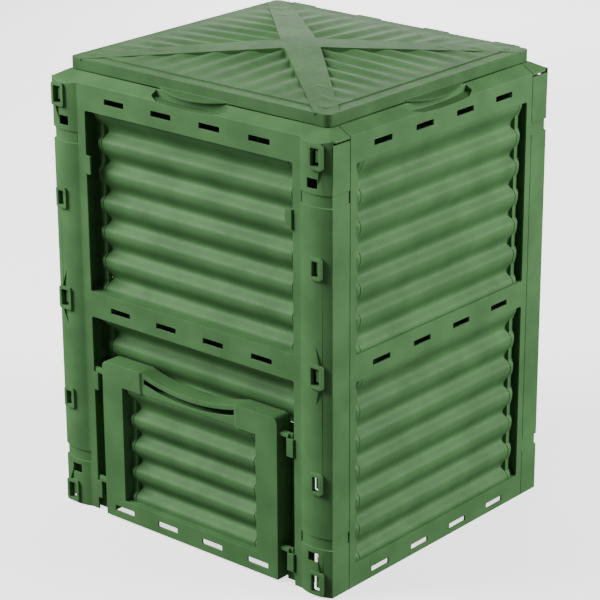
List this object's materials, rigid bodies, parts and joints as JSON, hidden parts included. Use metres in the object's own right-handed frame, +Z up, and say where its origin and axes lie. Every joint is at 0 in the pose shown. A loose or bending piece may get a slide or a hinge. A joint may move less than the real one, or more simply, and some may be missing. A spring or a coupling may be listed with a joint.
{
  "type": "compost bin",
  "caption": "Square garden compost bin with ribbed vented walls, corner columns, a hinged ribbed lid and a lift-out hatch at the foot of the front.",
  "frame": {"origin": "centre of the footprint, on the ground under the walls", "axes": "+Z up; the hatch side faces -Y and the lid hinges are along +Y; +X is to the right seen from the front"},
  "size_m": [0.61, 0.59, 0.82],
  "materials": {
    "green_moulding": "fine-grained injection-moulded polypropylene",
    "pin_plastic": "plain moulded polypropylene"
  },
  "bodies": {
    "bin": {"front_wall": "green_moulding", "back_wall": "green_moulding", "left_wall": "green_moulding", "right_wall": "green_moulding", "front_upper_sheet": "green_moulding", "front_header_sheet": "green_moulding", "back_upper_sheet": "green_moulding", "back_lower_sheet": "green_moulding", "left_upper_sheet": "green_moulding", "left_lower_sheet": "green_moulding", "right_upper_sheet": "green_moulding", "right_lower_sheet": "green_moulding"},
    "top_lid": {"lid": "green_moulding", "hinge_pin_1": "pin_plastic", "hinge_pin_2": "pin_plastic", "hinge_pin_3": "pin_plastic", "hinge_pin_4": "pin_plastic"},
    "hatch": {"hatch_door": "green_moulding", "hatch_sheet": "green_moulding"}
  },
  "joints": [
    {"name": "lid_hinge", "type": "hinge", "parent": "bin", "child": "top_lid", "pos_m": [0, 0.272, 0.795], "axis": [-1, 0, 0], "range_deg": [0, 105]},
    {"name": "hatch_lift", "type": "slide", "parent": "bin", "child": "hatch", "axis": [0, 0, 1], "range_m": [0, 0.045]}
  ]
}
